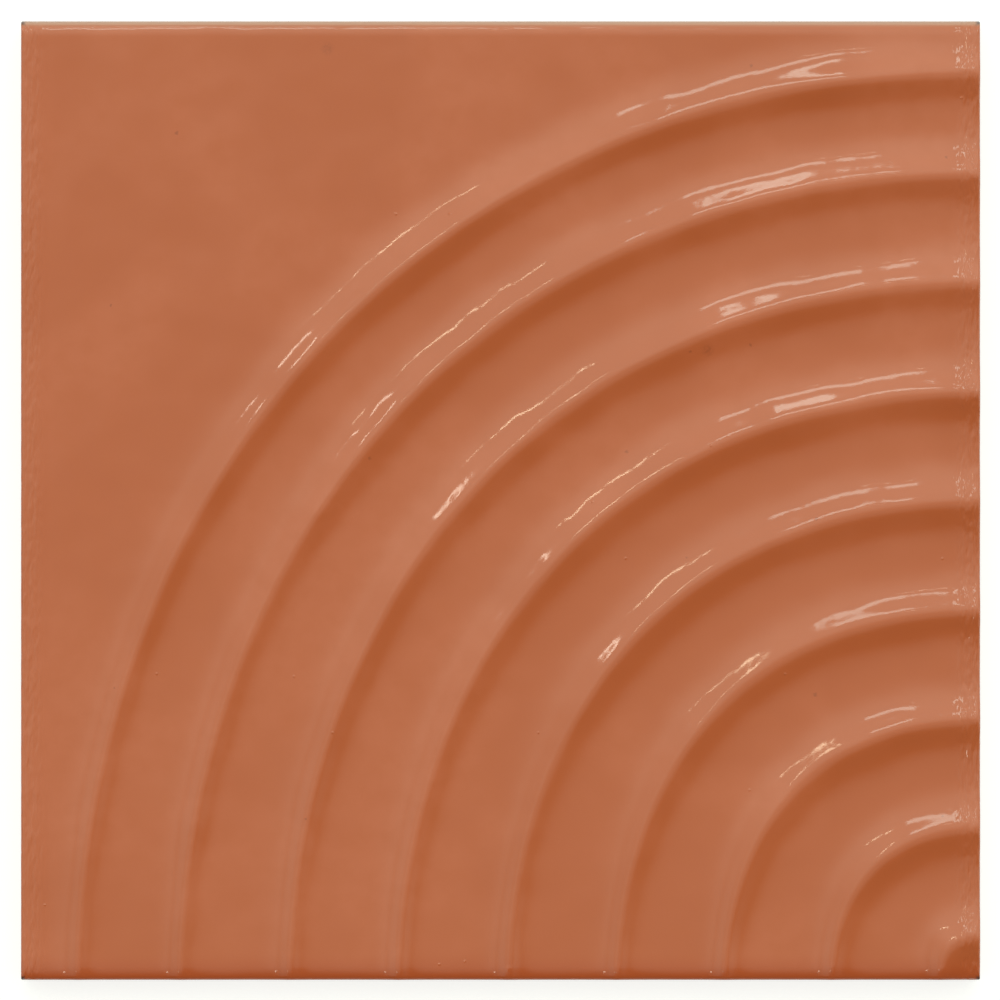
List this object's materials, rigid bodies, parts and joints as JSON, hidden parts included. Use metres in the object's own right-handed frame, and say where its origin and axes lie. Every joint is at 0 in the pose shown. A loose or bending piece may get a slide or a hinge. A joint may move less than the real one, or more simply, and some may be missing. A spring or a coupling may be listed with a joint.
{
  "type": "ceramic wall tile",
  "caption": "Square glazed ceramic wall tile with a pressed relief of concentric quarter rings centred on one corner and a keyed back.",
  "frame": {"origin": "centre of the tile's outline, on the plane of its back", "axes": "+Z out of the glazed face; +X and +Y along the tile's sides, with the shared centre of the rings at the corner at +X, -Y"},
  "size_m": [0.15, 0.15, 0.01],
  "materials": {
    "glaze": "gloss"
  },
  "bodies": {
    "root": {"wall_tile": "glaze"}
  },
  "joints": []
}
